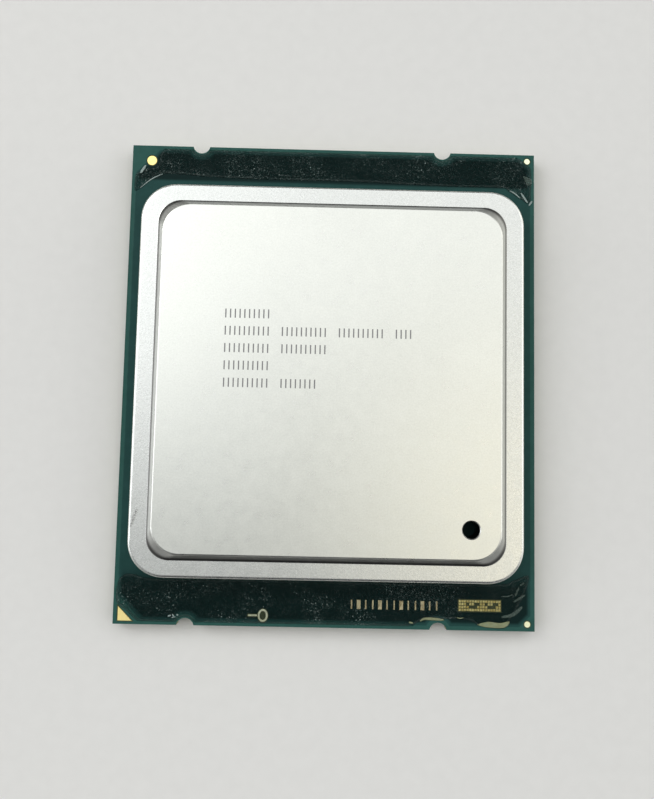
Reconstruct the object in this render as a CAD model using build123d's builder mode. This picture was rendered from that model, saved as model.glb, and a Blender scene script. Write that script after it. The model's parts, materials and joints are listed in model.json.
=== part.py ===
from build123d import *
import os
from math import sqrt

# Land grid array processor package, in millimetres.
# The origin is the middle of the land side, on the plane that seats in the socket.
# X runs along the 45.0 mm width, Y along the 52.5 mm length, and +Z points to the lid.

# ---- Driving dimensions: substrate stack, from the land side up ----
board_width = 45.0
board_length = 52.5
mask_thickness = 0.045
build_up_thickness = 0.17
copper_thickness = 0.02
core_thickness = 0.82
land_recess = 0.012

lower_mask_top = mask_thickness
core_bottom = lower_mask_top + build_up_thickness
core_top = core_bottom + core_thickness
upper_build_up_top = core_top + build_up_thickness
board_top = upper_build_up_top + mask_thickness

# ---- Keying notches in the two short edges ----
notch_radius = 0.95
notch_setback = 0.2
notch_x = (-14.85, 12.15)

# ---- Copper planes, held back from the cut edges ----
plane_inset = 0.45
plane_wide_chamfer = 2.6
plane_narrow_chamfer = 1.2
plane_mark_clearance = 0.28
core_plane_inset = 0.6

# ---- Land field: rows along X, every second one shifted by half a pitch ----
land_pitch = 1.016
land_rows = 58
lands_per_row = 43
land_radius = 0.335
land_opening_radius = 0.36
land_corner_cut = 3.0
land_notch_clearance = 1.8
field_half_width = 9.1
field_half_length = 11.4

# ---- Capacitors, all lying along X ----
small_cap_length = 1.0
small_cap_width = 0.5
small_cap_height = 0.5
small_cap_terminal = 0.24
bulk_cap_length = 2.0
bulk_cap_width = 1.25
bulk_cap_height = 0.6
bulk_cap_terminal = 0.4
cap_window_margin = 0.12
body_relief = 0.015
bulk_cap_x = 5.75
bulk_cap_y = 9.6
array_spacing = (2.3, 1.45)
array_count = (7, 11)
die_side_column_x = (13.0, 15.2)
die_side_column_spacing = 1.9
die_side_column_count = 11
die_side_row_y = (13.1, 15.2)
die_side_row_spacing = 2.1
die_side_row_count = 9

# ---- Die and what holds it ----
die_width = 20.8
die_length = 20.9
die_thickness = 0.78
bump_radius = 0.24
bump_height = 0.08
bump_spacing = 1.25
bump_count = 16
underfill_reach = 1.3
underfill_height = 0.45
solder_layer_thickness = 0.3
solder_layer_inset = 0.25

# ---- Heat spreader: flange, sloped step and raised top ----
sealant_thickness = 0.15
spreader_width = 41.4
spreader_length = 42.0
spreader_corner = 3.8
flange_top = 3.95
flange_round = 0.35
step_width = 0.65
step_foot_width = 37.5
step_foot_length = 38.2
step_foot_corner = 2.4
plateau_top = 4.85
plateau_corner = 3.0
plateau_round = 0.22
step_foot_round = 0.12
spreader_foot = board_top + sealant_thickness
cavity_width = 35.0
cavity_length = 35.6
cavity_corner = 2.5
vent_radius = 0.9
vent_chamfer = 0.1
vent_centre = (14.95, -15.35)
sealant_outer_inset = 0.45
sealant_width = 2.2

# ---- Rows of plain ticks etched in the raised top, in groups of five cells ----
tick_width = 0.13
tick_height = 0.95
tick_depth = 0.02
ticks_per_cell = 2
tick_cell = 1.0
tick_group = 6
tick_first_x = -11.1
tick_first_y = 6.75
tick_row_spacing = 1.83
tick_row_cells = (6, 20, 12, 5, 10)

# ---- Gold marks on the upper face, a little below the mask's surface ----
mark_recess = 0.012
mark_window = 0.1
triangle_corner = (-22.0, -25.9)
triangle_leg = 1.5
large_fiducial_centre = (-20.35, 24.55)
large_fiducial_radius = 0.535
small_fiducial_x = 21.72
small_fiducial_y = 25.52
small_fiducial_radius = 0.32
ring_centre = (-6.58, -25.1)
ring_radii = (0.53, 0.67)
ring_stroke = 0.2
dash_centre = (-7.68, -25.1)
dash_size = (0.95, 0.18)
bar_first_x = 2.87
bar_row_y = -23.75
bar_spacing = 0.76
bar_count = 13
bar_height = 0.95
bar_widths = (0.16, 0.4)
code_centre = (16.6, -23.65)
code_size = (4.55, 1.2)
code_columns = 16
code_rows = 4
code_fill = 0.8

# ---- Clear coating over the bare ends of the substrate ----
coating_thickness = 0.06
coating_edge = 0.1

die_bottom = board_top + bump_height
die_top = die_bottom + die_thickness
cavity_top = die_top + solder_layer_thickness
row_pitch = land_pitch * sqrt(3) / 2
half_width = board_width / 2
half_length = board_length / 2
notch_centres = [(x, side * (half_length + notch_setback)) for x in notch_x for side in (-1, 1)]


def board_outline():
    """The rectangular board less its four keying notches, drawn in the open sketch."""
    Rectangle(board_width, board_length)
    with Locations(*notch_centres):
        Circle(notch_radius, mode=Mode.SUBTRACT)


def plane_outline(inset, wide_chamfer, narrow_chamfer):
    """A copper plane: held back from the edges and cut off at its corners."""
    x = half_width - inset
    y = half_length - inset
    with BuildLine() as edge:
        Polyline(
            (-x, -y + wide_chamfer),
            (-x + wide_chamfer, -y),
            (x - narrow_chamfer, -y),
            (x, -y + narrow_chamfer),
            (x, y - narrow_chamfer),
            (x - narrow_chamfer, y),
            (-x + wide_chamfer, y),
            (-x, y - wide_chamfer),
            close=True,
        )
    make_face(edge.edges())
    with Locations(*notch_centres):
        Circle(notch_radius + inset, mode=Mode.SUBTRACT)


def is_land_site(x, y):
    """True where the hexagonal grid carries a land."""
    in_capacitor_field = abs(x) < field_half_width and abs(y) < field_half_length
    near_corner = (half_width - abs(x)) + (half_length - abs(y)) <= land_corner_cut
    near_notch = any(sqrt((x - a) ** 2 + (y - b) ** 2) <= land_notch_clearance for a, b in notch_centres)
    return not (in_capacitor_field or near_corner or near_notch)


def land_sites():
    """Centres of the lands, row by row."""
    sites = []
    for row in range(land_rows):
        y = (row - (land_rows - 1) / 2) * row_pitch
        shift = land_pitch / 4 * (1 if row % 2 else -1)
        for column in range(lands_per_row):
            x = (column - (lands_per_row - 1) / 2) * land_pitch + shift
            if is_land_site(x, y):
                sites.append((x, y))
    return sites


def triangle(grow, mode=Mode.ADD):
    """The corner triangle with its right angle at the board's corner, grown all round."""
    x = triangle_corner[0] - grow
    y = triangle_corner[1] - grow
    leg = triangle_leg + grow * (2 + sqrt(2))
    with BuildLine() as edge:
        Polyline((x, y), (x + leg, y), (x, y + leg), close=True)
    make_face(edge.edges(), mode=mode)


def bar_places():
    """Centre and width of each bar in the identification row."""
    places = []
    for index in range(bar_count):
        width = bar_widths[(index * index + index // 3) % 2]
        places.append((bar_first_x + index * bar_spacing, width))
    return places


def code_cells():
    """Centres of the filled cells of the block code, by a plain arithmetic rule."""
    cells = []
    step_x = code_size[0] / code_columns
    step_y = code_size[1] / code_rows
    for column in range(code_columns):
        for row in range(code_rows):
            on_border = column == 0 or row == 0
            if on_border or (5 * column + 3 * row + column * row * row) % 7 < 4:
                x = code_centre[0] + (column - (code_columns - 1) / 2) * step_x
                y = code_centre[1] + (row - (code_rows - 1) / 2) * step_y
                cells.append((x, y))
    return cells


def tick_places():
    """Centres of the etched ticks. Every sixth cell of a row is left blank."""
    places = []
    for row, cells in enumerate(tick_row_cells):
        y = tick_first_y - row * tick_row_spacing
        for cell in range(cells):
            if cell % tick_group == tick_group - 1:
                continue
            for tick in range(ticks_per_cell):
                places.append((tick_first_x + (cell + tick / ticks_per_cell) * tick_cell, y))
    return places


def mark_windows(grow, mode):
    """Openings round every gold mark, drawn in the open sketch."""
    triangle(grow, mode=mode)
    with Locations(large_fiducial_centre):
        Circle(large_fiducial_radius + grow, mode=mode)
    with Locations(*[(small_fiducial_x, side * small_fiducial_y) for side in (-1, 1)]):
        Circle(small_fiducial_radius + grow, mode=mode)
    with Locations(ring_centre):
        Ellipse(ring_radii[0] + grow, ring_radii[1] + grow, mode=mode)
    with Locations(dash_centre):
        Rectangle(dash_size[0] + 2 * grow, dash_size[1] + 2 * grow, mode=mode)
    with Locations(code_centre):
        Rectangle(code_size[0] + 2 * grow, code_size[1] + 2 * grow, mode=mode)


def bar_windows(grow):
    """One opening for each bar of the identification row."""
    for x, width in bar_places():
        with Locations((x, bar_row_y)):
            Rectangle(width + 2 * grow, bar_height + 2 * grow, mode=Mode.SUBTRACT)


def finish(part, name):
    """Labels a finished piece and writes it to its own file."""
    part.label = name
    export_step(part, f"parts/{name}.step")


os.makedirs("parts", exist_ok=True)
lands = land_sites()
bulk_caps = [(x, y) for x in (-bulk_cap_x, bulk_cap_x) for y in (-bulk_cap_y, bulk_cap_y)]
array_caps = [
    ((i - (array_count[0] - 1) / 2) * array_spacing[0], (j - (array_count[1] - 1) / 2) * array_spacing[1])
    for i in range(array_count[0])
    for j in range(array_count[1])
]
print("lands", len(lands))

# ---- Substrate core ----
with BuildPart() as substrate_core:
    with BuildSketch(Plane.XY.offset(core_bottom)):
        board_outline()
    extrude(amount=core_thickness)
finish(substrate_core.part, "substrate_core")

# ---- Copper planes on the core, wrapped by the build-up layers ----
with BuildPart() as upper_core_copper:
    with BuildSketch(Plane.XY.offset(core_top)):
        plane_outline(core_plane_inset, plane_wide_chamfer, plane_narrow_chamfer)
    extrude(amount=copper_thickness)
finish(upper_core_copper.part, "upper_core_copper")

with BuildPart() as lower_core_copper:
    with BuildSketch(Plane.XY.offset(core_bottom)):
        plane_outline(core_plane_inset, plane_wide_chamfer, plane_narrow_chamfer)
    extrude(amount=-copper_thickness)
finish(lower_core_copper.part, "lower_core_copper")

with BuildPart() as upper_build_up:
    with BuildSketch(Plane.XY.offset(core_top)):
        board_outline()
    extrude(amount=build_up_thickness)
    with BuildSketch(Plane.XY.offset(core_top)):
        plane_outline(core_plane_inset, plane_wide_chamfer, plane_narrow_chamfer)
    extrude(amount=copper_thickness, mode=Mode.SUBTRACT)
finish(upper_build_up.part, "upper_build_up")

with BuildPart() as lower_build_up:
    with BuildSketch(Plane.XY.offset(lower_mask_top)):
        board_outline()
    extrude(amount=build_up_thickness)
    with BuildSketch(Plane.XY.offset(core_bottom)):
        plane_outline(core_plane_inset, plane_wide_chamfer, plane_narrow_chamfer)
    extrude(amount=-copper_thickness, mode=Mode.SUBTRACT)
finish(lower_build_up.part, "lower_build_up")

# ---- Upper face: copper plane, gold marks and the solder mask over them ----
with BuildPart() as upper_copper_plane:
    with BuildSketch(Plane.XY.offset(upper_build_up_top)):
        plane_outline(plane_inset, plane_wide_chamfer, plane_narrow_chamfer)
        mark_windows(plane_mark_clearance, Mode.SUBTRACT)
        bar_windows(plane_mark_clearance / 4)
    extrude(amount=copper_thickness)
finish(upper_copper_plane.part, "upper_copper_plane")

with BuildPart() as upper_solder_mask:
    with BuildSketch(Plane.XY.offset(upper_build_up_top)):
        board_outline()
    extrude(amount=mask_thickness)
    with BuildSketch(Plane.XY.offset(upper_build_up_top)):
        plane_outline(plane_inset, plane_wide_chamfer, plane_narrow_chamfer)
        mark_windows(plane_mark_clearance, Mode.SUBTRACT)
        bar_windows(plane_mark_clearance / 4)
    extrude(amount=copper_thickness, mode=Mode.SUBTRACT)
    with BuildSketch(Plane.XY.offset(upper_build_up_top)):
        mark_windows(mark_window, Mode.ADD)
        for x, width in bar_places():
            with Locations((x, bar_row_y)):
                Rectangle(width + mark_window / 2, bar_height + mark_window / 2)
    extrude(amount=mask_thickness, mode=Mode.SUBTRACT)
finish(upper_solder_mask.part, "upper_solder_mask")

mark_thickness = mask_thickness - mark_recess

with BuildPart() as pin_one_triangle:
    with BuildSketch(Plane.XY.offset(upper_build_up_top)):
        triangle(0)
    extrude(amount=mark_thickness)
finish(pin_one_triangle.part, "pin_one_triangle")

with BuildPart() as large_fiducial:
    with BuildSketch(Plane.XY.offset(upper_build_up_top)):
        with Locations(large_fiducial_centre):
            Circle(large_fiducial_radius)
    extrude(amount=mark_thickness)
finish(large_fiducial.part, "large_fiducial")

with BuildPart() as small_fiducials:
    with BuildSketch(Plane.XY.offset(upper_build_up_top)):
        with Locations(*[(small_fiducial_x, side * small_fiducial_y) for side in (-1, 1)]):
            Circle(small_fiducial_radius)
    extrude(amount=mark_thickness)
finish(small_fiducials.part, "small_fiducials")

with BuildPart() as orientation_ring:
    with BuildSketch(Plane.XY.offset(upper_build_up_top)):
        with Locations(ring_centre):
            Ellipse(*ring_radii)
            Ellipse(ring_radii[0] - ring_stroke, ring_radii[1] - ring_stroke, mode=Mode.SUBTRACT)
    extrude(amount=mark_thickness)
finish(orientation_ring.part, "orientation_ring")

with BuildPart() as orientation_dash:
    with BuildSketch(Plane.XY.offset(upper_build_up_top)):
        with Locations(dash_centre):
            Rectangle(*dash_size)
    extrude(amount=mark_thickness)
finish(orientation_dash.part, "orientation_dash")

with BuildPart() as identification_bars:
    with BuildSketch(Plane.XY.offset(upper_build_up_top)):
        for x, width in bar_places():
            with Locations((x, bar_row_y)):
                Rectangle(width, bar_height)
    extrude(amount=mark_thickness)
finish(identification_bars.part, "identification_bars")

with BuildPart() as block_code_pads:
    with BuildSketch(Plane.XY.offset(upper_build_up_top)):
        with Locations(*code_cells()):
            Rectangle(code_size[0] / code_columns * code_fill, code_size[1] / code_rows * code_fill)
    extrude(amount=mark_thickness)
finish(block_code_pads.part, "block_code_pads")

# ---- Land side: lands, the mask round them and the capacitors in the middle field ----
with BuildPart() as contact_lands:
    with BuildSketch(Plane.XY.offset(land_recess)):
        with Locations(*lands):
            Circle(land_radius)
    extrude(amount=lower_mask_top - land_recess)
finish(contact_lands.part, "contact_lands")

with BuildPart() as lower_solder_mask:
    with BuildSketch():
        board_outline()
        with Locations(*lands):
            Circle(land_opening_radius, mode=Mode.SUBTRACT)
        with Locations(*bulk_caps):
            Rectangle(
                bulk_cap_length + 2 * cap_window_margin,
                bulk_cap_width + 2 * cap_window_margin,
                mode=Mode.SUBTRACT,
            )
        with Locations(*array_caps):
            Rectangle(
                small_cap_length + 2 * cap_window_margin,
                small_cap_width + 2 * cap_window_margin,
                mode=Mode.SUBTRACT,
            )
    extrude(amount=mask_thickness)
finish(lower_solder_mask.part, "lower_solder_mask")


def capacitor_bodies(places, length, width, height, terminal, base, side):
    """Ceramic middles of capacitors that stand on the plane at base, drawn in the open part."""
    with BuildSketch(Plane.XY.offset(base)) as footprint:
        with Locations(*places):
            Rectangle(length - 2 * terminal, width - 2 * body_relief)
    extrude(footprint.sketch, amount=side * (height - body_relief))


def capacitor_terminals(places, length, width, height, terminal, base, side):
    """Plated ends of capacitors that stand on the plane at base, drawn in the open part."""
    offset_x = (length - terminal) / 2
    with BuildSketch(Plane.XY.offset(base)) as footprint:
        with Locations(*[(x + end * offset_x, y) for x, y in places for end in (-1, 1)]):
            Rectangle(terminal, width)
    extrude(footprint.sketch, amount=side * height)


small_cap = (small_cap_length, small_cap_width, small_cap_height, small_cap_terminal)
bulk_cap = (bulk_cap_length, bulk_cap_width, bulk_cap_height, bulk_cap_terminal)

with BuildPart() as land_side_bulk_capacitors:
    capacitor_bodies(bulk_caps, *bulk_cap, lower_mask_top, -1)
finish(land_side_bulk_capacitors.part, "land_side_bulk_capacitors")

with BuildPart() as land_side_bulk_terminals:
    capacitor_terminals(bulk_caps, *bulk_cap, lower_mask_top, -1)
finish(land_side_bulk_terminals.part, "land_side_bulk_terminals")

with BuildPart() as land_side_capacitors:
    capacitor_bodies(array_caps, *small_cap, lower_mask_top, -1)
finish(land_side_capacitors.part, "land_side_capacitors")

with BuildPart() as land_side_terminals:
    capacitor_terminals(array_caps, *small_cap, lower_mask_top, -1)
finish(land_side_terminals.part, "land_side_terminals")

# ---- Capacitors beside the die, under the lid ----
column_caps = [
    (side * x, (j - (die_side_column_count - 1) / 2) * die_side_column_spacing)
    for side in (-1, 1)
    for x in die_side_column_x
    for j in range(die_side_column_count)
]
row_caps = [
    ((i - (die_side_row_count - 1) / 2) * die_side_row_spacing, side * y)
    for side in (-1, 1)
    for y in die_side_row_y
    for i in range(die_side_row_count)
]
die_side_caps = column_caps + row_caps

with BuildPart() as die_side_capacitors:
    capacitor_bodies(die_side_caps, *small_cap, board_top, 1)
finish(die_side_capacitors.part, "die_side_capacitors")

with BuildPart() as die_side_terminals:
    capacitor_terminals(die_side_caps, *small_cap, board_top, 1)
finish(die_side_terminals.part, "die_side_terminals")

# ---- Die, its bumps and underfill, and the solder that joins it to the lid ----
with BuildPart() as silicon_die:
    with BuildSketch(Plane.XY.offset(die_bottom)):
        Rectangle(die_width, die_length)
    extrude(amount=die_thickness)
finish(silicon_die.part, "silicon_die")

with BuildPart() as solder_bumps:
    with BuildSketch(Plane.XY.offset(board_top)):
        with GridLocations(bump_spacing, bump_spacing, bump_count, bump_count):
            Circle(bump_radius)
    extrude(amount=bump_height)
finish(solder_bumps.part, "solder_bumps")

with BuildPart() as underfill:
    with BuildSketch(Plane.XY.offset(board_top)):
        RectangleRounded(die_width + 2 * underfill_reach, die_length + 2 * underfill_reach, underfill_reach)
    with BuildSketch(Plane.XY.offset(board_top + underfill_height)):
        RectangleRounded(die_width + 0.1, die_length + 0.1, 0.05)
    loft()
    with BuildSketch(Plane.XY.offset(die_bottom)):
        Rectangle(die_width, die_length)
    extrude(amount=die_thickness, mode=Mode.SUBTRACT)
    with BuildSketch(Plane.XY.offset(board_top)):
        with GridLocations(bump_spacing, bump_spacing, bump_count, bump_count):
            Circle(bump_radius)
    extrude(amount=bump_height, mode=Mode.SUBTRACT)
finish(underfill.part, "underfill")

with BuildPart() as solder_interface:
    with BuildSketch(Plane.XY.offset(die_top)):
        Rectangle(die_width - 2 * solder_layer_inset, die_length - 2 * solder_layer_inset)
    extrude(amount=solder_layer_thickness)
finish(solder_interface.part, "solder_interface")

# ---- Heat spreader: flange, raised top, hollow for the die, and vent hole ----
with BuildPart() as heat_spreader:
    with BuildSketch(Plane.XY.offset(spreader_foot)):
        RectangleRounded(spreader_width, spreader_length, spreader_corner)
    extrude(amount=flange_top - spreader_foot)
    fillet(heat_spreader.faces().sort_by(Axis.Z)[-1].edges(), flange_round)
    with BuildSketch(Plane.XY.offset(flange_top)):
        RectangleRounded(step_foot_width, step_foot_length, step_foot_corner)
    with BuildSketch(Plane.XY.offset(plateau_top)):
        RectangleRounded(step_foot_width - 2 * step_width, step_foot_length - 2 * step_width, plateau_corner)
    loft()
    fillet(heat_spreader.faces().sort_by(Axis.Z)[-1].edges(), plateau_round)
    flange_face = heat_spreader.faces().filter_by(Axis.Z).sort_by(Axis.Z)[-2]
    fillet(flange_face.inner_wires()[0].edges(), step_foot_round)
    with BuildSketch(Plane.XY.offset(spreader_foot)):
        RectangleRounded(cavity_width, cavity_length, cavity_corner)
    extrude(amount=cavity_top - spreader_foot, mode=Mode.SUBTRACT)
    with BuildSketch(Plane.XY.offset(plateau_top)):
        with Locations(vent_centre):
            Circle(vent_radius)
    extrude(amount=-(plateau_top - cavity_top), mode=Mode.SUBTRACT)
    vent_edges = heat_spreader.edges().filter_by(GeomType.CIRCLE)
    vent_edges = vent_edges.filter_by(lambda edge: abs(edge.radius - vent_radius) < 0.01)
    chamfer(vent_edges.sort_by(Axis.Z)[-1], vent_chamfer)
    with BuildSketch(Plane.XY.offset(plateau_top)):
        with Locations(*tick_places()):
            Rectangle(tick_width, tick_height)
    extrude(amount=-tick_depth, mode=Mode.SUBTRACT)
finish(heat_spreader.part, "heat_spreader")

with BuildPart() as spreader_sealant:
    ring_width = spreader_width - 2 * sealant_outer_inset
    ring_length = spreader_length - 2 * sealant_outer_inset
    ring_corner = spreader_corner - sealant_outer_inset
    with BuildSketch(Plane.XY.offset(board_top)):
        RectangleRounded(ring_width, ring_length, ring_corner)
        RectangleRounded(
            ring_width - 2 * sealant_width,
            ring_length - 2 * sealant_width,
            ring_corner - sealant_width / 2,
            mode=Mode.SUBTRACT,
        )
    extrude(amount=sealant_thickness)
finish(spreader_sealant.part, "spreader_sealant")

# ---- Clear coating: a thin film over each bare end, left off the marked corners ----
film_x = half_width - coating_edge
film_y = half_length - coating_edge

with BuildPart() as rear_clear_coating:
    with BuildSketch(Plane.XY.offset(board_top)):
        with BuildLine():
            Polyline(
                (-19.2, film_y),
                (-film_x, 22.8),
                (-film_x, 20.9),
                (-18.9, 23.05),
                (-12.7, 22.72),
                (1.8, 22.65),
                (18.7, 22.4),
                (21.0, 21.2),
                (film_x, 20.4),
                (film_x, film_y),
                close=True,
            )
        make_face()
        with Locations(*notch_centres):
            Circle(notch_radius + coating_edge, mode=Mode.SUBTRACT)
    extrude(amount=coating_thickness)
finish(rear_clear_coating.part, "rear_clear_coating")

with BuildPart() as front_clear_coating:
    with BuildSketch(Plane.XY.offset(board_top)):
        with BuildLine():
            Polyline(
                (-film_x, -20.6),
                (-film_x, -24.1),
                (-19.9, -film_y),
                (9.7, -film_y),
                (11.2, -24.95),
                (13.0, -24.95),
                (15.9, -25.3),
                (16.9, -film_y),
                (19.4, -film_y),
                (21.3, -22.6),
                (22.0, -20.2),
                (20.3, -20.9),
                (18.2, -21.5),
                (-18.2, -21.5),
                (-20.9, -20.2),
                close=True,
            )
        make_face()
        with Locations(*notch_centres):
            Circle(notch_radius + coating_edge, mode=Mode.SUBTRACT)
    extrude(amount=coating_thickness)
finish(front_clear_coating.part, "front_clear_coating")
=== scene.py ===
import json
import math

import bmesh
import bpy
import numpy as np
from mathutils import Matrix, Vector, geometry, noise


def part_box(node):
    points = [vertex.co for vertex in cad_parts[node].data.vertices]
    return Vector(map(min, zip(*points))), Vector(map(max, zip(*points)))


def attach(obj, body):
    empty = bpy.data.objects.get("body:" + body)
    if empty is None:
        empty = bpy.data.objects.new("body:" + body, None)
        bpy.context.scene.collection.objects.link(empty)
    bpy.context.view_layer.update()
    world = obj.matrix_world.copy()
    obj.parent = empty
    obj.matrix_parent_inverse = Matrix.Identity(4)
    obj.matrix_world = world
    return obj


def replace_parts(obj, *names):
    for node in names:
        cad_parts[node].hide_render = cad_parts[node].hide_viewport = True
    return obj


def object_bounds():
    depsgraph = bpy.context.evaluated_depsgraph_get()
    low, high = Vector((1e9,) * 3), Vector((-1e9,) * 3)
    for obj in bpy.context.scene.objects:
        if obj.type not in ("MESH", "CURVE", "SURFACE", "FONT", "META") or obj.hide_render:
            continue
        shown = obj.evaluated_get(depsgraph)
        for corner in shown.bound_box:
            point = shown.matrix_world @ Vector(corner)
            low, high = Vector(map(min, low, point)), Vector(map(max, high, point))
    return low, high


# A lidded land grid array processor package. Lengths are in millimetres, and are
# turned into metres only where Blender takes them.

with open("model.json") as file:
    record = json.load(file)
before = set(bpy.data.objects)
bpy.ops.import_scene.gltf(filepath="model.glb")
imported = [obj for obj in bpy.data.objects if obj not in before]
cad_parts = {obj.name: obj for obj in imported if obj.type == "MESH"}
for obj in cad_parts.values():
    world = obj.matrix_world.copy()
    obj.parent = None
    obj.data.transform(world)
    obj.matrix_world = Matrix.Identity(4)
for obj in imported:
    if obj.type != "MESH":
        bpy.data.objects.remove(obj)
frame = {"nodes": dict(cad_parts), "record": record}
cad_low, cad_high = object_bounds()
nodes = frame["nodes"]
mounts = {mount["name"]: mount for mount in frame["record"]["mounts"]}
MM = 0.001


def metres(x, y, z):
    """A point given in millimetres, in metres."""
    return x * MM, y * MM, z * MM


def corner_mm(node, end):
    """A CAD node's lowest (end 0) or highest (end 1) corner, in millimetres."""
    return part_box(node)[end] / MM


def notch_mm(name):
    """Where a keying notch has its centre, seen from above, in millimetres."""
    x, y, _ = mounts[name]["pos_m"]
    return x / MM, y / MM


# ---- Sizes read from the frame ----
half_width, half_length, mask_top = corner_mm("upper_solder_mask", 1)
lid_half_width, lid_half_length, plateau_top = corner_mm("heat_spreader", 1)
lid_foot = corner_mm("heat_spreader", 0).z
flange_top = mounts["clamp_flange_face"]["pos_m"][2] / MM
rear_left = notch_mm("rear_left_key")
rear_right = notch_mm("rear_right_key")
front_left = notch_mm("front_left_key")
front_right = notch_mm("front_right_key")

# ---- The board's green mask ----
notch_radius = 0.95
plane_inset = 0.45
plane_wide_chamfer = 2.6
plane_narrow_chamfer = 1.2

# ---- The lid ----
lid_corner = 3.8
tick_depth = 0.02
tick_margin = (4.0, 3.6)
vent_centre = (14.95, -15.35)
vent_radius = 0.9
vent_chamfer = 0.1
scuff = ((-19.8, -13.9), (-20.4, -15.7))
scuff_width = 0.28

# ---- The clear films, and where along the board the mask darkens under each; at the front the darkening runs on towards the lid as painted shade ----
rear_darkening = (22.15, 22.55)
front_darkening_and_shade = (-22.4, -19.8)
film_end = half_length - 0.3
film_notch_radius = 1.07
film_notch_gap = 1.1
film_lift = 0.003
film_rim = 0.052
film_body = 0.03
film_rim_width = 0.12
film_settling_width = 0.3

# ---- The sealant under the lid's foot ----
bead_width = 2.1
bead_inset = 0.3
bead_most_push = 0.22

# ---- The tabletop ----
table_half_size = 1500


class Tree:
    """Short calls for building a node tree. Any input takes a plain value or another node's output."""

    def __init__(self, tree):
        self.tree = tree

    def node(self, kind, **settings):
        made = self.tree.nodes.new(kind)
        for name, value in settings.items():
            setattr(made, name, value)
        return made

    def feed(self, socket, value):
        if isinstance(value, bpy.types.NodeSocket):
            self.tree.links.new(value, socket)
        else:
            socket.default_value = value

    def feed_colour(self, socket, value):
        """As feed, for a colour, which may be given as plain (red, green, blue)."""
        self.feed(socket, (*value, 1) if isinstance(value, tuple) else value)

    def math(self, operation, a, b=0.0):
        made = self.node("ShaderNodeMath", operation=operation)
        self.feed(made.inputs[0], a)
        self.feed(made.inputs[1], b)
        return made.outputs["Value"]

    def total(self, *values):
        result = values[0]
        for value in values[1:]:
            result = self.math("ADD", result, value)
        return result

    def product(self, *values):
        result = values[0]
        for value in values[1:]:
            result = self.math("MULTIPLY", result, value)
        return result

    def swing(self, pattern, weight):
        """Turns a pattern from 0 to 1 into one that goes as far below zero as above it."""
        return self.product(self.math("SUBTRACT", pattern, 0.5), weight)

    def rise(self, value, low, high, start=0.0, end=1.0):
        """Goes smoothly from start to end as value goes from low to high."""
        made = self.node("ShaderNodeMapRange", interpolation_type="SMOOTHSTEP")
        for socket, part in zip(made.inputs, (value, low, high, start, end)):
            self.feed(socket, part)
        return made.outputs["Result"]

    def fall(self, value, low, high):
        """Goes smoothly from 1 to 0 as value goes from low to high."""
        return self.rise(value, low, high, 1.0, 0.0)

    def band(self, value, rising, falling):
        """1 between two pairs of limits: it rises over the first pair and falls over the second."""
        return self.product(self.rise(value, *rising), self.fall(value, *falling))

    def mix(self, amount, a, b):
        """A colour between two colours, each a plain one or another node's output."""
        made = self.node("ShaderNodeMix", data_type="RGBA")
        self.feed(made.inputs[0], amount)
        self.feed_colour(made.inputs[6], a)
        self.feed_colour(made.inputs[7], b)
        return made.outputs[2]

    def scaled(self, vector, factors):
        made = self.node("ShaderNodeVectorMath", operation="MULTIPLY")
        self.feed(made.inputs[0], vector)
        self.feed(made.inputs[1], factors)
        return made.outputs["Vector"]

    def split(self, vector):
        made = self.node("ShaderNodeSeparateXYZ")
        self.feed(made.inputs[0], vector)
        return made.outputs

    def reach(self, x, y, centre):
        """Distance of (x, y) from a point of that plane."""
        across = self.math("SUBTRACT", x, centre[0])
        along = self.math("SUBTRACT", y, centre[1])
        return self.math("SQRT", self.total(self.product(across, across), self.product(along, along)))


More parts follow.
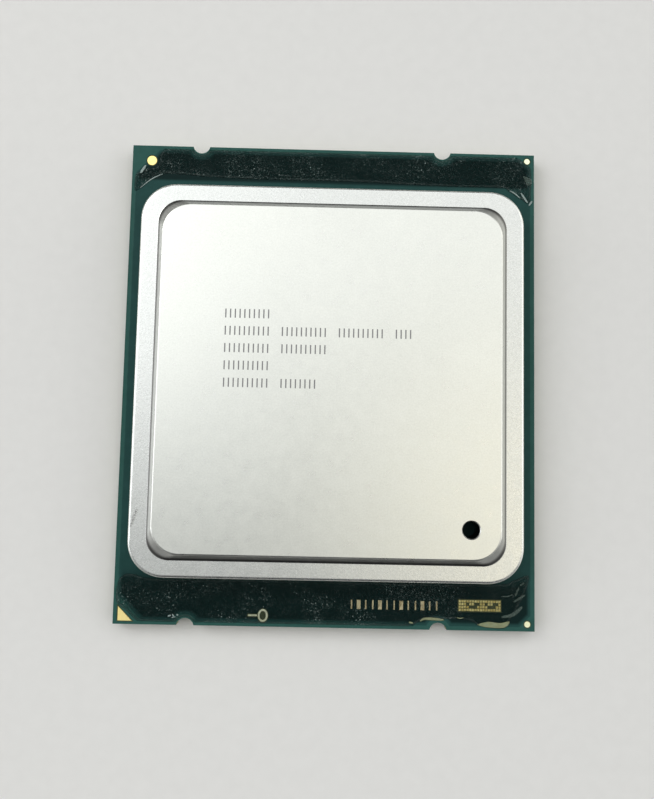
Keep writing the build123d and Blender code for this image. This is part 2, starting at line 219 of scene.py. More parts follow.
class Surface(Tree):
    """A Principled material over the object's own coordinates, in millimetres."""

    def __init__(self, name, metallic=0.0, specular=0.5):
        self.material = bpy.data.materials.new(name)
        self.material.use_nodes = True
        super().__init__(self.material.node_tree)
        self.shader = self.tree.nodes["Principled BSDF"]
        coordinates = self.node("ShaderNodeTexCoord").outputs["Object"]
        self.place = self.scaled(coordinates, (1 / MM, 1 / MM, 1 / MM))
        self.x, self.y, self.z = self.split(self.place)
        self.set("Metallic", metallic)
        self.set("Specular IOR Level", specular)

    def set(self, socket, value):
        self.feed(self.shader.inputs[socket], value)

    def set_colour(self, value):
        self.feed_colour(self.shader.inputs["Base Color"], value)

    def noise(self, per_mm, detail=2.0, roughness=0.5, stretch=(1, 1, 1), distortion=0.0):
        """Cloudy noise from 0 to 1, with about per_mm lumps in each millimetre."""
        made = self.node("ShaderNodeTexNoise")
        self.feed(made.inputs["Vector"], self.scaled(self.place, stretch))
        self.feed(made.inputs["Scale"], per_mm)
        self.feed(made.inputs["Detail"], detail)
        self.feed(made.inputs["Roughness"], roughness)
        self.feed(made.inputs["Distortion"], distortion)
        return made.outputs["Fac"]

    def cells(self, per_mm, wander=0.0):
        """Distance over the board to the nearest of scattered points, and a random colour for each."""
        drift = self.node("ShaderNodeTexNoise")
        self.feed(drift.inputs["Vector"], self.place)
        self.feed(drift.inputs["Scale"], 4 * per_mm)
        moved = self.node("ShaderNodeVectorMath", operation="MULTIPLY_ADD")
        self.feed(moved.inputs[0], drift.outputs["Color"])
        self.feed(moved.inputs[1], (wander, wander, 0.0))
        self.feed(moved.inputs[2], self.place)
        made = self.node("ShaderNodeTexVoronoi", voronoi_dimensions="2D")
        self.feed(made.inputs["Vector"], moved.outputs["Vector"])
        self.feed(made.inputs["Scale"], per_mm)
        return made.outputs["Distance"], made.outputs["Color"]

    def near_line(self, start, end, width):
        """1 on the line between two points, fading to 0 at the width and past its ends."""
        length = math.dist(start, end)
        run = ((end[0] - start[0]) / length, (end[1] - start[1]) / length)
        x = self.math("SUBTRACT", self.x, start[0])
        y = self.math("SUBTRACT", self.y, start[1])
        along = self.total(self.product(x, run[0]), self.product(y, run[1]))
        cross = self.math("SUBTRACT", self.product(x, run[1]), self.product(y, run[0]))
        within = self.band(along, (-width, width), (length - width, length + width))
        return self.product(self.fall(self.math("ABSOLUTE", cross), 0.0, width), within)

    def bump(self, *layers):
        """Adds layers of (height from 0 to 1, its depth in millimetres)."""
        normal = None
        for height, depth in layers:
            made = self.node("ShaderNodeBump")
            made.inputs["Strength"].default_value = 1.0
            made.inputs["Distance"].default_value = depth * MM
            self.feed(made.inputs["Height"], height)
            if normal is not None:
                self.tree.links.new(normal, made.inputs["Normal"])
            normal = made.outputs["Normal"]
        self.set("Normal", normal)


# ---- Materials ----
def tick_floors(look):
    """The floors of the ticks cut in the lid's raised top, leaving out its rounded edge, which is as low."""
    at_depth = look.band(
        look.z,
        (plateau_top - 1.4 * tick_depth, plateau_top - 1.1 * tick_depth),
        (plateau_top - 0.6 * tick_depth, plateau_top - 0.3 * tick_depth),
    )
    outer, inner = tick_margin
    within_x = look.fall(look.math("ABSOLUTE", look.x), lid_half_width - outer, lid_half_width - inner)
    within_y = look.fall(look.math("ABSOLUTE", look.y), lid_half_length - outer, lid_half_length - inner)
    return look.product(at_depth, within_x, within_y)


def nickel_plate():
    """Satin nickel over copper: a lapped raised top, a blasted flange and drawn sides, with painted shade
    darkening the slope up to the raised top, its crease and the vent's wall.
    """
    look = Surface("nickel_plate", metallic=1.0)

    # Where the lid's parts are, by height. The crease is the foot of the slope up to the raised top, and is
    # painted nearly black as shade
    top = look.rise(look.z, plateau_top - 0.12, plateau_top - 0.03)
    flange = look.band(look.z, (flange_top - 0.1, flange_top - 0.02), (flange_top + 0.02, flange_top + 0.08))
    shaded_crease = look.band(look.z, (flange_top - 0.01, flange_top + 0.03), (flange_top + 0.12, flange_top + 0.45))
    shaded_slope = look.band(look.z, (flange_top + 0.04, flange_top + 0.14), (plateau_top - 0.1, plateau_top - 0.03))
    in_ticks = tick_floors(look)
    vent_wall_shade = look.product(
        look.fall(look.reach(look.x, look.y, vent_centre), vent_radius + 0.01, vent_radius + 0.03),
        look.fall(look.z, plateau_top - 1.5 * vent_chamfer, plateau_top - vent_chamfer),
    )

    # Patterns, from the widest to the finest
    cloud = look.noise(0.12, detail=3.0)
    patch = look.noise(0.9, detail=4.0, roughness=0.6)
    crossed = look.noise(2.0, detail=2.0, stretch=(3.2, 0.4, 1.0))
    lapped = look.noise(2.6, detail=2.0, stretch=(0.35, 3.0, 1.0))
    grain = look.noise(6.0, detail=3.0, roughness=0.65)
    blast = look.noise(6.5, detail=2.0, roughness=0.7)
    scuffed = look.product(look.near_line(*scuff, scuff_width), look.rise(blast, 0.35, 0.55), flange)

    tone = look.total(
        look.swing(cloud, 0.3),
        look.swing(patch, 0.35),
        look.swing(grain, 0.8),
        look.swing(blast, look.total(0.5, flange)),
        0.5,
    )
    lapped_metal = look.mix(tone, (0.635, 0.645, 0.612), (0.800, 0.812, 0.775))
    blasted_metal = look.mix(tone, (0.66, 0.675, 0.655), (0.84, 0.855, 0.835))
    metal = look.mix(flange, lapped_metal, blasted_metal)
    metal = look.mix(look.product(scuffed, 0.7), metal, (0.28, 0.28, 0.28))
    # The slope up to the raised top is painted darker: partly a duller coined face, partly painted shade.
    metal = look.mix(look.product(shaded_slope, 0.5), metal, (0.30, 0.30, 0.295))
    # The crease at the foot of the slope is painted nearly black: painted shade.
    metal = look.mix(look.product(shaded_crease, 0.85), metal, (0.085, 0.083, 0.08))
    metal = look.mix(in_ticks, metal, (0.29, 0.29, 0.295))
    # The vent's wall, down inside the hole, is painted near black: painted shade.
    look.set_colour(look.mix(vent_wall_shade, metal, (0.012, 0.012, 0.012)))
    by_zone = look.total(look.product(flange, -0.03), look.product(in_ticks, 0.25))
    look.set("Roughness", look.total(0.30, look.swing(patch, 0.16), by_zone))
    look.bump(
        (look.product(look.total(lapped, crossed), 0.5, top), 0.003),
        (look.product(grain, look.total(0.1, look.product(flange, 0.6))), 0.005),
        (look.product(blast, flange), 0.006),
        (scuffed, 0.01),
    )
    return look.material


def edge_distance(look):
    """How far a point of the board lies from the rim of the copper plane under the mask."""
    from_side = look.math("SUBTRACT", half_width - plane_inset, look.math("ABSOLUTE", look.x))
    from_end = look.math("SUBTRACT", half_length - plane_inset, look.math("ABSOLUTE", look.y))
    on_left = look.math("LESS_THAN", look.x, 0.0)
    extra_on_left = look.product(on_left, plane_wide_chamfer - plane_narrow_chamfer)
    chamfer = look.total(plane_narrow_chamfer, extra_on_left)
    past_chamfer = look.math("SUBTRACT", look.total(from_side, from_end), chamfer)
    from_corner = look.product(past_chamfer, math.sqrt(0.5))
    nearest = look.math("MINIMUM", look.math("MINIMUM", from_side, from_end), from_corner)
    for notch in (rear_left, rear_right, front_left, front_right):
        from_notch = look.math("SUBTRACT", look.reach(look.x, look.y, notch), notch_radius + plane_inset)
        nearest = look.math("MINIMUM", nearest, from_notch)
    return nearest


def solder_mask():
    """Dark green mask: lighter along the rim where no copper lies under it, darker under the films, and at
    the front darkened towards the lid as painted shade.
    """
    look = Surface("solder_mask", specular=0.14)
    inwards = edge_distance(look)
    over_copper = look.rise(look.total(inwards, look.swing(look.noise(1.4, detail=3.0), 0.12)), -0.05, 0.05)
    mottle = look.noise(0.8, detail=5.0, roughness=0.65)
    speck = look.noise(7.0, detail=2.0)
    # At the front the darkening fades out only under the lid, so the mask beside the lid is painted darker as
    # shade.
    at_ends = look.math("MAXIMUM", look.rise(look.y, *rear_darkening), look.fall(look.y, *front_darkening_and_shade))
    on_upper_face = look.math("GREATER_THAN", look.z, mask_top / 2)
    under_film_and_shade = look.product(on_upper_face, at_ends, look.rise(inwards, 0.1, 0.5))
    bare = look.mix(mottle, (0.024, 0.090, 0.076), (0.050, 0.140, 0.124))
    plated = look.mix(mottle, (0.015, 0.060, 0.055), (0.030, 0.094, 0.088))
    plated = look.mix(under_film_and_shade, plated, (0.003, 0.021, 0.020))
    look.set_colour(look.mix(over_copper, bare, plated))
    look.set("Roughness", look.total(0.34, look.product(mottle, 0.12), look.product(speck, 0.06)))
    look.bump((mottle, 0.006), (speck, 0.002), (over_copper, 0.012))
    return look.material


def core_laminate():
    """Glass and resin laminate: pressed layers, fibre ends and faint saw marks on its cut edge."""
    look = Surface("core_laminate", specular=0.35)
    layer = look.noise(1.0, detail=2.0, stretch=(0.25, 0.25, 13.0))
    fibre = look.noise(1.0, detail=3.0, roughness=0.6, stretch=(2.2, 2.2, 26.0))
    saw = look.noise(1.0, detail=2.0, stretch=(9.0, 9.0, 0.5))
    pressed = look.mix(layer, (0.16, 0.19, 0.075), (0.40, 0.41, 0.20))
    look.set_colour(look.mix(look.rise(fibre, 0.52, 0.66), pressed, (0.60, 0.59, 0.36)))
    look.set("Roughness", look.total(0.55, look.product(fibre, 0.25)))
    look.bump((fibre, 0.02), (saw, 0.02))
    return look.material


def build_up_resin():
    """Filled resin build-up layers, an olive brown with thin lines seen edge on."""
    look = Surface("build_up_resin", specular=0.35)
    layer = look.noise(1.0, detail=1.0, stretch=(0.05, 0.05, 22.0))
    fleck = look.noise(9.0, detail=2.0)
    saw = look.noise(1.0, stretch=(9.0, 9.0, 0.5))
    look.set_colour(look.mix(layer, (0.040, 0.060, 0.030), (0.14, 0.15, 0.075)))
    look.set("Roughness", look.total(0.5, look.product(fleck, 0.2)))
    look.bump((fleck, 0.008), (saw, 0.015))
    return look.material


def plated_metal(name, low, high, roughness, grain_depth, islands=0.0):
    """A plated metal with a fine grain. With islands, each separate pad has a tone of its own."""
    look = Surface(name, metallic=1.0)
    grain = look.noise(9.0, detail=3.0, roughness=0.6)
    patch = look.noise(1.1, detail=4.0, roughness=0.6)
    own = look.node("ShaderNodeNewGeometry").outputs["Random Per Island"]
    tone = look.total(
        look.product(grain, 0.35),
        look.product(patch, 0.65 - islands / 2),
        look.product(own, islands / 2),
    )
    look.set_colour(look.mix(look.rise(tone, 0.25, 0.75), low, high))
    look.set("Roughness", look.total(roughness, look.product(patch, 0.16), look.product(own, islands * 0.12)))
    look.bump((grain, grain_depth), (patch, grain_depth * 2))
    return look.material


def capacitor_ceramic():
    """Fired ceramic, tan with darker flecks and a faint line for each buried layer."""
    look = Surface("capacitor_ceramic", specular=0.4)
    fleck = look.noise(12.0, detail=3.0, roughness=0.7)
    layer = look.noise(1.0, detail=1.0, stretch=(0.4, 0.4, 30.0))
    tone = look.total(look.product(fleck, 0.7), look.product(layer, 0.3))
    look.set_colour(look.mix(tone, (0.20, 0.115, 0.062), (0.42, 0.28, 0.17)))
    look.set("Roughness", look.total(0.38, look.product(fleck, 0.25)))
    look.bump((fleck, 0.008), (layer, 0.004))
    return look.material


def silicon():
    """Polished silicon, nearly a mirror, with a lightly sawn edge."""
    look = Surface("silicon", metallic=0.7)
    haze = look.noise(0.4, detail=4.0)
    saw = look.noise(1.0, detail=3.0, stretch=(14.0, 14.0, 1.0))
    look.set_colour(look.mix(haze, (0.12, 0.125, 0.14), (0.17, 0.175, 0.20)))
    look.set("Roughness", look.total(0.08, look.product(haze, 0.1)))
    look.bump((saw, 0.003))
    return look.material


def underfill_resin():
    """Silica filled epoxy, charcoal with pale filler grains."""
    look = Surface("underfill_resin", specular=0.45)
    filler, _ = look.cells(11.0)
    flow = look.noise(0.7, detail=3.0)
    look.set_colour(look.mix(flow, (0.010, 0.010, 0.012), (0.034, 0.034, 0.038)))
    look.set("Roughness", look.rise(filler, 0.1, 0.6, 0.5, 0.32))
    look.bump((flow, 0.05), (filler, 0.006))
    return look.material


def sealant():
    """Cured black silicone, soft and slightly dusty."""
    look = Surface("sealant", specular=0.4)
    dust = look.noise(5.0, detail=4.0, roughness=0.7)
    look.set_colour(look.mix(look.rise(dust, 0.45, 0.75), (0.007, 0.007, 0.008), (0.030, 0.031, 0.031)))
    look.set("Roughness", look.total(0.4, look.product(dust, 0.2)))
    look.bump((look.noise(1.6, detail=3.0), 0.03), (dust, 0.004))
    return look.material


def settled_dust(look):
    """Specks, short fibres and fine grit, lying thicker in some places than in others."""
    thick = look.rise(look.noise(0.28, detail=3.0), 0.43, 0.58)
    near, own = look.cells(2.5, wander=0.22)
    draw, size, _ = look.split(own)
    chosen = look.product(look.rise(draw, 0.66, 0.70), thick)
    dot = look.fall(near, 0.03, look.rise(size, 0.0, 1.0, 0.07, 0.19))
    speck = look.product(dot, chosen, look.total(0.12, look.product(size, 0.6)))
    curl = look.math("ABSOLUTE", look.math("SUBTRACT", look.noise(0.9, detail=1.0, distortion=1.5), 0.5))
    fibre = look.product(look.fall(curl, 0.0, 0.010), look.rise(look.noise(1.3), 0.58, 0.64), thick)
    grit = look.product(look.rise(look.noise(6.0, detail=2.0), 0.56, 0.70), thick)
    fine = look.math("MAXIMUM", look.product(fibre, 0.45), look.product(grit, 0.22))
    return look.math("MAXIMUM", speck, fine)


def clear_film(name, tint, milk, cover):
    """A clear coat: its tint, how milky it is, and the share of what lies under it that it hides. The crest
    of its rim carries a painted highlight.
    """
    look = Surface(name, specular=0.08)
    dust = settled_dust(look)
    haze = look.rise(look.noise(2.4, detail=5.0, roughness=0.75), 0.40, 0.80)
    rim_top = mask_top + film_lift + film_rim
    rim_crest_highlight = look.rise(look.z, rim_top - 0.014, rim_top - 0.004)
    # The crest of the rim is painted paler, a painted highlight along the film's edge, over the milky haze.
    haze_and_rim_highlight = look.math("MAXIMUM", look.product(haze, milk), look.product(rim_crest_highlight, 0.35))
    coat = look.mix(haze_and_rim_highlight, tint, (0.20, 0.25, 0.24))
    look.set_colour(look.mix(look.math("MINIMUM", look.product(dust, 3.0), 1.0), coat, (0.38, 0.45, 0.43)))
    look.set("Roughness", look.total(0.09, look.product(haze, 0.1), look.product(dust, 0.4)))
    cloudy = look.total(cover, look.product(haze, milk, 0.5), look.product(rim_crest_highlight, 0.15))
    look.set("Alpha", look.math("MAXIMUM", cloudy, dust))
    look.bump((look.noise(0.9, detail=2.0), 0.03), (haze, 0.006))
    return look.material


def pale_floor():
    """A plain pale tabletop with the faintest tooth."""
    look = Surface("pale_floor", specular=0.2)
    tooth = look.noise(0.7, detail=4.0)
    look.set_colour(look.mix(tooth, (0.72, 0.72, 0.71), (0.76, 0.76, 0.75)))
    look.set("Roughness", look.total(0.75, look.product(tooth, 0.1)))
    return look.material


gold = plated_metal("gold_plate", (0.88, 0.71, 0.30), (0.98, 0.86, 0.44), 0.34, 0.006, islands=0.6)
pale_gold = plated_metal("gold_plate_pale", (0.82, 0.86, 0.62), (0.95, 0.98, 0.78), 0.32, 0.004)
bar_gold = plated_metal("gold_plate_bars", (0.55, 0.46, 0.28), (1.0, 0.92, 0.64), 0.40, 0.02, islands=0.5)
code_gold = plated_metal("gold_plate_code", (0.62, 0.50, 0.16), (1.0, 0.93, 0.50), 0.40, 0.02, islands=0.5)
tin = plated_metal("tin_plate", (0.50, 0.50, 0.49), (0.74, 0.74, 0.72), 0.30, 0.012)
solder = plated_metal("solder", (0.42, 0.42, 0.43), (0.62, 0.62, 0.63), 0.38, 0.02)
copper = plated_metal("copper", (0.62, 0.26, 0.15), (0.85, 0.42, 0.26), 0.34, 0.006)
laminate = core_laminate()
build_up = build_up_resin()
mask = solder_mask()
ceramic = capacitor_ceramic()
silicone = sealant()
clear = clear_film("clear_film", (0.0015, 0.012, 0.010), milk=0.22, cover=0.13)
# A pale, nearly opaque coat that paints glints on the films' edges.
painted_glint = clear_film("clear_film_painted_glint", (0.42, 0.50, 0.49), milk=0.3, cover=0.75)
residue = clear_film("clear_film_residue", (0.33, 0.34, 0.17), milk=0.9, cover=0.72)
thin_haze = clear_film("clear_film_haze", (0.13, 0.18, 0.15), milk=0.4, cover=0.24)

# Every CAD node's finish, apart from the two clear coatings, which are replaced below.
finishes = {
    "substrate_core": laminate,
    "upper_core_copper": copper,
    "lower_core_copper": copper,
    "upper_build_up": build_up,
    "lower_build_up": build_up,
    "upper_copper_plane": copper,
    "upper_solder_mask": mask,
    "lower_solder_mask": mask,
    "pin_one_triangle": gold,
    "large_fiducial": gold,
    "small_fiducials": pale_gold,
    "orientation_ring": pale_gold,
    "orientation_dash": pale_gold,
    "identification_bars": bar_gold,
    "block_code_pads": code_gold,
    "contact_lands": gold,
    "land_side_bulk_capacitors": ceramic,
    "land_side_capacitors": ceramic,
    "die_side_capacitors": ceramic,
    "land_side_bulk_terminals": tin,
    "land_side_terminals": tin,
    "die_side_terminals": tin,
    "silicon_die": silicon(),
    "solder_bumps": solder,
    "solder_interface": solder,
    "underfill": underfill_resin(),
    "heat_spreader": nickel_plate(),
    "spreader_sealant": silicone,
}


def dress(piece, material):
    """Gives a mesh one material."""
    piece.data.materials.clear()
    piece.data.materials.append(material)
    for face in piece.data.polygons:
        face.material_index = 0


def round_edges(piece, width):
    """Small rounded edges on a CAD node's blocks, as a modifier."""
    bevel = piece.modifiers.new("rounded_edges", "BEVEL")
    bevel.width = width * MM
    bevel.segments = 2
    bevel.limit_method = "ANGLE"
    bevel.angle_limit = math.radians(40)


for name, material in finishes.items():
    dress(nodes[name], material)
    if name.endswith("_terminals"):
        round_edges(nodes[name], 0.035)
    if name.endswith("_capacitors"):
        round_edges(nodes[name], 0.02)


# ---- Curves and outlines, as lists of (x, y) ----
def arc(centre, radius, start, end, count):
    """Points along an arc, its angles in degrees."""
    angles = [math.radians(start + (end - start) * i / count) for i in range(count + 1)]
    return [(centre[0] + radius * math.cos(a), centre[1] + radius * math.sin(a)) for a in angles]


def flowing(points, spacing=0.25):
    """A smooth open curve (Catmull-Rom) through the points, sampled at about the spacing."""
    padded = [points[0], *points, points[-1]]
    curve = []
    for guides in zip(padded, padded[1:], padded[2:], padded[3:]):
        count = max(1, round(math.dist(guides[1], guides[2]) / spacing))
        for i in range(count):
            t = i / count
            weights = (
                (-t + 2 * t * t - t**3) / 2,
                (2 - 5 * t * t + 3 * t**3) / 2,
                (t + 4 * t * t - 3 * t**3) / 2,
                (-t * t + t**3) / 2,
            )
            curve.append(tuple(sum(w * p[axis] for w, p in zip(weights, guides)) for axis in (0, 1)))
    return curve + [points[-1]]


def streak(width, *points):
    """The outline of a stroke along a line of points, widest in its middle and pointed at both ends."""
    line = flowing(list(points), 0.1)
    left, right = [], []
    for i, (x, y) in enumerate(line):
        behind, ahead = line[max(i - 1, 0)], line[min(i + 1, len(line) - 1)]
        along = Vector((ahead[0] - behind[0], ahead[1] - behind[1])).normalized()
        place = 2 * i / (len(line) - 1) - 1
        half = width / 2 * math.sqrt(max(0.0, 1 - place * place))
        left.append((x - along.y * half, y + along.x * half))
        right.append((x + along.y * half, y - along.x * half))
    return left + right[::-1]


def without_repeats(outline, least=0.03):
    """Drops points that lie almost on the one before."""
    kept = [outline[0]]
    for point in outline[1:]:
        if math.dist(point, kept[-1]) > least:
            kept.append(point)
    if math.dist(kept[0], kept[-1]) <= least:
        kept.pop()
    return kept


def distance_to_loop(points, loop):
    """Distance from each point to the nearest side of a closed loop."""
    start = np.array(loop)
    side = np.roll(start, -1, axis=0) - start
    length = np.maximum((side**2).sum(1), 1e-12)
    offset = np.array(points)[:, None, :] - start[None]
    along = np.clip((offset * side[None]).sum(2) / length[None], 0, 1)
    nearest = offset - along[:, :, None] * side[None]
    return np.sqrt((nearest**2).sum(2)).min(1)


def inside_loop(points, loop):
    """True for each point that lies inside a closed loop."""
    x, y = np.array(points).T
    inside = np.zeros(len(x), bool)
    for (x0, y0), (x1, y1) in zip(loop, loop[1:] + loop[:1]):
        if y0 != y1:
            crosses = (y0 > y) != (y1 > y)
            inside ^= crosses & (x < (x1 - x0) * (y - y0) / (y1 - y0) + x0)
    return inside


# ---- Skins: thin closed meshes that lie on the mask ----
def film_height(distance, x, y, rim, body, seed):
    """A film's thickness: nothing at its outline, a rounded rim, then a rippled body."""
    rise = min(1.0, distance / film_rim_width)
    swell = math.sqrt(max(0.0, 1 - (1 - rise) ** 2))
    settled = min(1.0, max(0.0, (distance - film_rim_width) / film_settling_width))
    settled = settled * settled * (3 - 2 * settled)
    wide_ripple = noise.noise(Vector((x * 0.55, y * 0.9, seed)))
    fine_ripple = noise.noise(Vector((x * 2.1, y * 2.6, seed)))
    ripple = 1 + 0.22 * (wide_ripple * 0.5 + fine_ripple)
    return swell * (rim * (1 - settled) + body * settled) * ripple


def skin_points(outline, spacing):
    """Points inside an outline: close rings along it, then an even field further in.

    A point is kept where its distance from the outline is over the least share of its gap.
    """
    rings = [0.05, 0.11, 0.2, 0.34]
    field_gap = rings[-1] + spacing * 0.4
    least_share = 0.93
    loop = np.array(outline)
    tangent = np.roll(loop, -1, axis=0) - np.roll(loop, 1, axis=0)
    tangent /= np.maximum(np.linalg.norm(tangent, axis=1), 1e-9)[:, None]
    area = (loop[:, 0] * np.roll(loop[:, 1], -1) - loop[:, 1] * np.roll(loop[:, 0], -1)).sum()
    inward = np.stack([-tangent[:, 1], tangent[:, 0]], 1) * (1 if area > 0 else -1)
    candidates = [tuple(p) for ring in rings for p in loop + inward * ring]
    gaps = [ring for ring in rings for _ in outline]
    columns = np.arange(loop[:, 0].min(), loop[:, 0].max(), spacing)
    rows = np.arange(loop[:, 1].min(), loop[:, 1].max(), spacing)
    for j, y in enumerate(rows):
        for x in columns + (spacing / 2 if j % 2 else 0):
            candidates.append((x, y))
            gaps.append(field_gap)
    far_enough = distance_to_loop(candidates, outline) > least_share * np.array(gaps)
    kept = inside_loop(candidates, outline) & far_enough
    return [p for p, keep in zip(candidates, kept) if keep]


def add_skin(bm, outline, base, rim, body, spacing, seed):
    """Adds one closed skin over an outline: flat below, swollen above, sharp at its edge."""
    count = len(outline)
    flat = [Vector(p) for p in outline] + [Vector(p) for p in skin_points(outline, spacing)]
    sides = [(i, (i + 1) % count) for i in range(count)]
    places, _, faces, sources = geometry.delaunay_2d_cdt(flat, sides, [list(range(count))], 1, 1e-7)[:4]
    gaps = distance_to_loop([tuple(p) for p in places], outline)
    upper, lower = [], []
    for point, source, gap in zip(places, sources, gaps):
        on_outline = any(i < count for i in source)
        lift = 0.0 if on_outline else film_height(gap, point.x, point.y, rim, body, seed)
        vertex = bm.verts.new(metres(point.x, point.y, base + lift))
        upper.append(vertex)
        lower.append(vertex if on_outline else bm.verts.new(metres(point.x, point.y, base)))
    for corners in faces:
        above = [upper[i] for i in corners]
        below = [lower[i] for i in reversed(corners)]
        if len(set(above)) == len(above) and set(above) != set(below):
            bm.faces.new(above)
            bm.faces.new(below)


def piece_from(bm, name, material):
    """Turns a bmesh in metres into a smooth piece on the package."""
    mesh = bpy.data.meshes.new(name)
    bm.to_mesh(mesh)
    bm.free()
    for face in mesh.polygons:
        face.use_smooth = True
    piece = bpy.data.objects.new(name, mesh)
    bpy.context.scene.collection.objects.link(piece)
    dress(piece, material)
    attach(piece, "root")
    return piece


def film(name, outlines, material, seed, rim=film_rim, body=film_body, spacing=0.5, lift=film_lift):
    """Thin closed skins lying on the mask, one for each outline."""
    bm = bmesh.new()
    for outline in outlines:
        add_skin(bm, without_repeats(outline), mask_top + lift, rim, body, spacing, seed)
    bmesh.ops.recalc_face_normals(bm, faces=bm.faces)
    return piece_from(bm, name, material)


# ---- The two clear films ----
# How far past a half circle an outline goes round a notch, at each end, in degrees.
notch_reach = math.degrees(math.asin((film_end - rear_left[1]) / film_notch_radius))


def round_notch(notch):
    """The part of a film's outline that goes round a notch, from left to right."""
    if notch[1] > 0:
        return arc(notch, film_notch_radius, 180 - notch_reach, 360 + notch_reach, 14)
    return arc(notch, film_notch_radius, 180 + notch_reach, -notch_reach, 14)


def along_edge(start, end, y):
    """Points along a straight stretch of outline."""
    count = max(2, round(abs(end - start) / 0.4))
    return [(start + (end - start) * i / count, y) for i in range(1, count)]


# Where each film's straight outer edge starts and ends, along x.
rear_run = (-19.0, 20.6)
front_run = (-19.9, 9.4)

rear_left_end = [
    (-22.15, 22.9), (-21.5, 23.35), (-20.7, 23.7), (-19.95, 23.78), (-19.5, 24.3), (-19.5, 25.1),
    (rear_run[0], film_end),
]
rear_right_end = [
    (rear_run[1], film_end), (21.9, 25.0), (22.2, 24.2), (22.15, 21.6), (21.95, 20.6), (20.9, 21.2),
]
rear_inner_edge = [
    (19.5, 22.1), (18.6, 22.4), (13.0, 22.4), (1.8, 22.66), (-4.9, 22.65), (-12.7, 22.74), (-18.8, 23.05),
    (-20.4, 22.3), (-21.6, 21.25), (-22.2, 21.1),
]
rear_outline = (
    flowing(rear_left_end)
    + along_edge(rear_run[0], rear_left[0] - film_notch_gap, film_end)
    + round_notch(rear_left)
    + along_edge(rear_left[0] + film_notch_gap, rear_right[0] - film_notch_gap, film_end)
    + round_notch(rear_right)
    + along_edge(rear_right[0] + film_notch_gap, rear_run[1], film_end)
    + flowing(rear_right_end + rear_inner_edge + rear_left_end[:1])[:-1]
)

front_left_end = [
    (-22.0, -21.5), (-22.3, -22.6), (-22.15, -24.0), (-21.2, -24.8), (front_run[0], -film_end),
]
front_right_end = [
    (front_run[1], -film_end), (10.3, -25.3), (11.4, -25.0), (12.5, -25.15), (13.9, -25.1), (15.6, -25.25),
    (16.4, -25.7), (17.6, -film_end), (19.3, -film_end), (20.0, -24.9), (21.3, -22.6), (21.9, -20.4),
]
front_inner_edge = [
    (20.2, -20.9), (18.2, -21.35), (6.0, -21.4), (-6.0, -21.35), (-18.0, -21.4), (-20.4, -21.0),
    (-21.3, -21.0),
]
front_outline = (
    flowing(front_left_end)
    + along_edge(front_run[0], front_left[0] - film_notch_gap, -film_end)
    + round_notch(front_left)
    + along_edge(front_left[0] + film_notch_gap, front_run[1], -film_end)
    + flowing(front_right_end + front_inner_edge + front_left_end[:1])[:-1]
)

rear_film = film("rear_film", [rear_outline], clear, seed=1.7)
front_film = film("front_film", [front_outline], clear, seed=5.3)
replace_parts(rear_film, "rear_clear_coating")
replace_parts(front_film, "front_clear_coating")

# ---- Where the films dried milky, and pale skins painted as glints along the films' edges ----
fine_skin = {"rim": 0.03, "body": 0.024, "spacing": 0.2, "lift": 0.035}
# Pale skins painted where the rear film's edges catch the light: painted glints.
rear_painted_glints = [
    streak(0.30, (-21.0, 24.0), (-21.6, 23.0)),
    streak(0.15, (-21.7, 21.2), (-20.3, 22.4), (-18.9, 23.1)),
    streak(0.18, (19.7, 22.1), (20.3, 21.8), (21.0, 21.2)),
    streak(0.24, (21.0, 21.9), (21.8, 20.7)),
    streak(0.22, (22.3, 21.0), (21.9, 20.4)),
]
rear_veils = [flowing([(21.2, 23.9), (22.2, 23.5), (22.2, 22.8), (21.7, 22.8), (21.2, 23.9)])]
# Pale skins painted as glints on the front film.
front_painted_glints = [
    streak(0.20, (-16.7, -25.4), (-16.3, -25.2)),
    streak(0.16, (-16.2, -25.1), (-16.0, -25.4)),
    streak(0.20, (-15.8, -25.1), (-15.5, -25.3)),
    streak(0.13, (-16.3, -25.5), (-15.8, -25.4)),
    streak(0.20, (12.7, -25.9), (13.0, -26.0)),
]
dried_pool = [(16.2, -25.6), (17.5, -25.3), (18.8, -25.4), (19.8, -25.2), (19.3, -25.9), (17.3, -25.9)]
front_residue = [
    flowing(dried_pool + dried_pool[:1]),
    streak(0.32, (10.2, -25.4), (10.8, -25.1), (12.8, -25.2)),
    streak(0.22, (9.0, -25.5), (9.5, -25.6)),
    streak(0.20, (9.7, -25.5), (10.0, -25.6)),
    # This dot is a painted glint.
    streak(0.28, (8.0, -25.8), (8.3, -25.8)),
    streak(0.14, (14.1, -24.9), (14.5, -25.0), (14.9, -24.9)),
]
front_veils = [
    streak(0.42, (18.9, -24.8), (20.2, -24.5), (21.2, -23.6)),
    streak(0.30, (20.2, -23.2), (21.5, -22.4)),
    streak(0.24, (20.4, -22.6), (20.8, -21.6)),
    streak(0.22, (20.9, -21.5), (21.4, -21.1)),
    streak(0.16, (18.8, -22.6), (19.6, -22.6), (20.2, -22.3)),
]
film("rear_painted_glints", rear_painted_glints, painted_glint, seed=2.0, **fine_skin)
film("rear_veils", rear_veils, thin_haze, seed=3.0, **fine_skin)
film("front_painted_glints", front_painted_glints, painted_glint, seed=4.0, **fine_skin)
film("front_residue", front_residue, residue, seed=6.0, **fine_skin)
film("front_veils", front_veils, thin_haze, seed=7.0, **fine_skin)


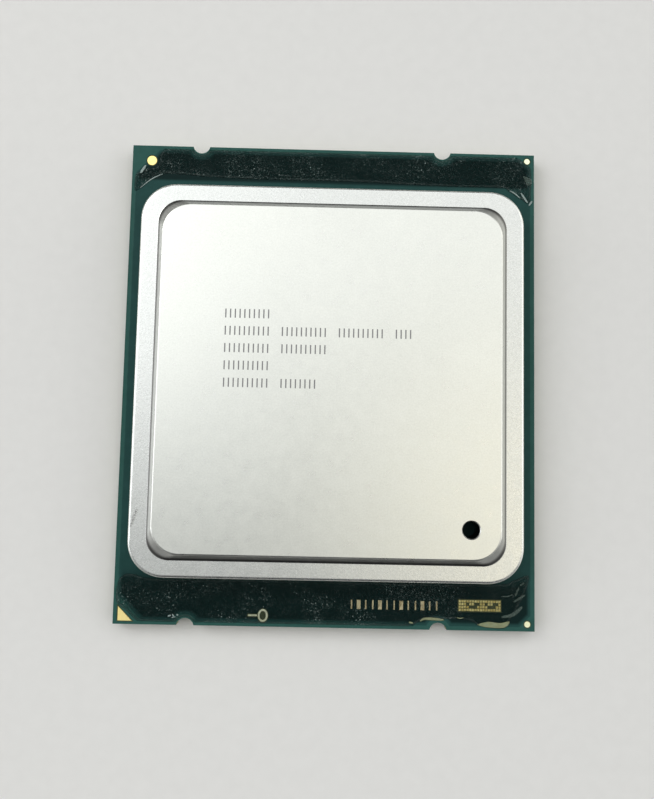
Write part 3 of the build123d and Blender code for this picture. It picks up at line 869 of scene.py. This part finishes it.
# ---- Sealant under the lid's foot ----
def rounded_rectangle(half_x, half_y, corner, spacing):
    """Evenly spaced points round a rounded rectangle, with the outward direction at each."""
    places = []
    quarter = math.pi / 2
    for k, (side_x, side_y) in enumerate(((1, 1), (-1, 1), (-1, -1), (1, -1))):
        centre = (side_x * (half_x - corner), side_y * (half_y - corner))
        count = max(4, round(corner * quarter / spacing))
        for i in range(count + 1):
            angle = k * quarter + quarter * i / count
            out = (math.cos(angle), math.sin(angle))
            places.append(((centre[0] + corner * out[0], centre[1] + corner * out[1]), out))
        run = 2 * (half_y - corner) if k % 2 else 2 * (half_x - corner)
        along = (-out[1], out[0])
        last = places[-1][0]
        count = round(run / spacing)
        for i in range(1, count):
            reach = run * i / count
            places.append(((last[0] + along[0] * reach, last[1] + along[1] * reach), out))
    return places


def sealant_bead():
    """A band of silicone squeezed out unevenly between the mask and the lid's foot."""
    # The band's section as (height from 0 at the mask to 1 at the foot, distance outward).
    outer_side = [(0.0, -0.16), (0.22, -0.05), (0.5, 0.0), (0.8, -0.06), (1.0, -0.2)]
    section = [(0.0, -bead_width), *outer_side, (1.0, -bead_width)]
    room = lid_foot - mask_top
    half_x, half_y = lid_half_width - bead_inset, lid_half_length - bead_inset
    ring = rounded_rectangle(half_x, half_y, lid_corner - bead_inset, spacing=0.3)
    bm = bmesh.new()
    loops = []
    for (x, y), (out_x, out_y) in ring:
        wide_swell = noise.noise(Vector((x * 0.45, y * 0.45, 3.1)))
        fine_swell = noise.noise(Vector((x, y, 8.0)))
        push = min(bead_most_push, 0.3 * (0.5 * wide_swell + 0.25 * fine_swell))
        loop = []
        for height, outward in section:
            spot = outward if outward == -bead_width else outward + push
            place = metres(x + out_x * spot, y + out_y * spot, mask_top + room * height)
            loop.append(bm.verts.new(place))
        loops.append(loop)
    for a, b in zip(loops, loops[1:] + loops[:1]):
        for i in range(len(section)):
            j = (i + 1) % len(section)
            bm.faces.new((a[i], b[i], b[j], a[j]))
    bmesh.ops.recalc_face_normals(bm, faces=bm.faces)
    return piece_from(bm, "sealant_bead", silicone)


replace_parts(sealant_bead(), "spreader_sealant")


# ---- Floor ----
def tabletop():
    """A level square that the package stands on."""
    bm = bmesh.new()
    bmesh.ops.create_grid(bm, x_segments=8, y_segments=8, size=table_half_size * MM)
    mesh = bpy.data.meshes.new("floor")
    bm.to_mesh(mesh)
    bm.free()
    made = bpy.data.objects.new("floor", mesh)
    made.location.z = cad_low.z
    bpy.context.scene.collection.objects.link(made)
    dress(made, pale_floor())
    return made


floor = tabletop()


# ---- Light ----
def studio_dome():
    """A soft dome, brighter to the rear and sides, dim low down at the ends, with two softboxes."""
    softbox_reach = 0.42
    softboxes = (
        ((-0.38, 0.24), (1.66, 1.68, 1.70)),
        ((0.34, -0.12), (1.50, 1.42, 1.22)),
    )
    seen_backdrop = (0.80, 0.80, 0.79)
    world = bpy.data.worlds.new("studio")
    world.use_nodes = True
    bpy.context.scene.world = world
    sky = Tree(world.node_tree)
    x, y, z = sky.split(sky.node("ShaderNodeTexCoord").outputs["Generated"])

    # Low down: bright at the sides, dim at the ends
    rear_right_corner = sky.math("MAXIMUM", sky.math("MINIMUM", x, y), 0.0)
    sideways = sky.math("SUBTRACT", sky.math("ABSOLUTE", x), sky.math("ABSOLUTE", y))
    side_on = sky.rise(sky.total(sideways, rear_right_corner), 0.30, 0.85)
    side = sky.mix(sky.rise(x, -0.3, 0.3), (2.1, 2.1, 2.15), (1.55, 1.53, 1.48))
    low = sky.mix(side_on, (0.38, 0.385, 0.385), side)
    low = sky.mix(sky.fall(sky.math("ABSOLUTE", x), 0.22, 0.62), low, (0.10, 0.10, 0.105))

    # Overhead: brighter to the rear, with the softboxes. It reaches lower down at the rear
    high = sky.mix(sky.rise(y, -0.38, 0.42), (0.45, 0.46, 0.46), (1.25, 1.26, 1.26))
    for place, colour in softboxes:
        high = sky.mix(sky.fall(sky.reach(x, y, place), 0.0, softbox_reach), high, colour)
    light = sky.mix(sky.rise(sky.total(z, sky.product(y, 0.25)), 0.60, 0.86), low, high)

    seen = sky.node("ShaderNodeLightPath").outputs["Is Camera Ray"]
    background = world.node_tree.nodes["Background"]
    sky.feed(background.inputs["Color"], sky.mix(seen, light, seen_backdrop))
    background.inputs["Strength"].default_value = 1.06


def soft_light(name, place, aim, size, power, colour):
    """A large square area light, placed in millimetres."""
    light = bpy.data.lights.new(name, "AREA")
    light.shape = "SQUARE"
    light.size = size * MM
    light.energy = power
    light.color = colour
    lamp = bpy.data.objects.new(name, light)
    lamp.location = Vector(place) * MM
    direction = Vector(aim) - Vector(place)
    lamp.rotation_euler = direction.to_track_quat("-Z", "Y").to_euler()
    bpy.context.scene.collection.objects.link(lamp)


studio_dome()
soft_light("key", place=(-330, 240, 340), aim=(0, 0, 0), size=200, power=0.45, colour=(1.0, 0.99, 0.97))


# ---- Camera ----
def place_camera(place, forward, up):
    """The camera, its place in millimetres, looking along forward with up at the top of its picture."""
    data = bpy.data.cameras.new("camera")
    data.lens = 33.79
    data.sensor_width = 36.0
    data.clip_start = 0.001
    data.clip_end = 20.0
    camera = bpy.data.objects.new("camera", data)
    forward = Vector(forward).normalized()
    right = forward.cross(Vector(up)).normalized()
    turn = Matrix((right, right.cross(forward), -forward)).transposed()
    camera.rotation_euler = turn.to_euler()
    camera.location = Vector(place) * MM
    bpy.context.scene.collection.objects.link(camera)
    bpy.context.scene.camera = camera


# Almost straight above, and a little to the front
place_camera((-1.13, -8.64, 82.90), forward=(0.0111, 0.0829, -0.9965), up=(-0.0224, 0.9963, 0.0826))
bpy.context.scene.view_settings.view_transform = "Standard"
bpy.context.scene.view_settings.gamma = 0.85
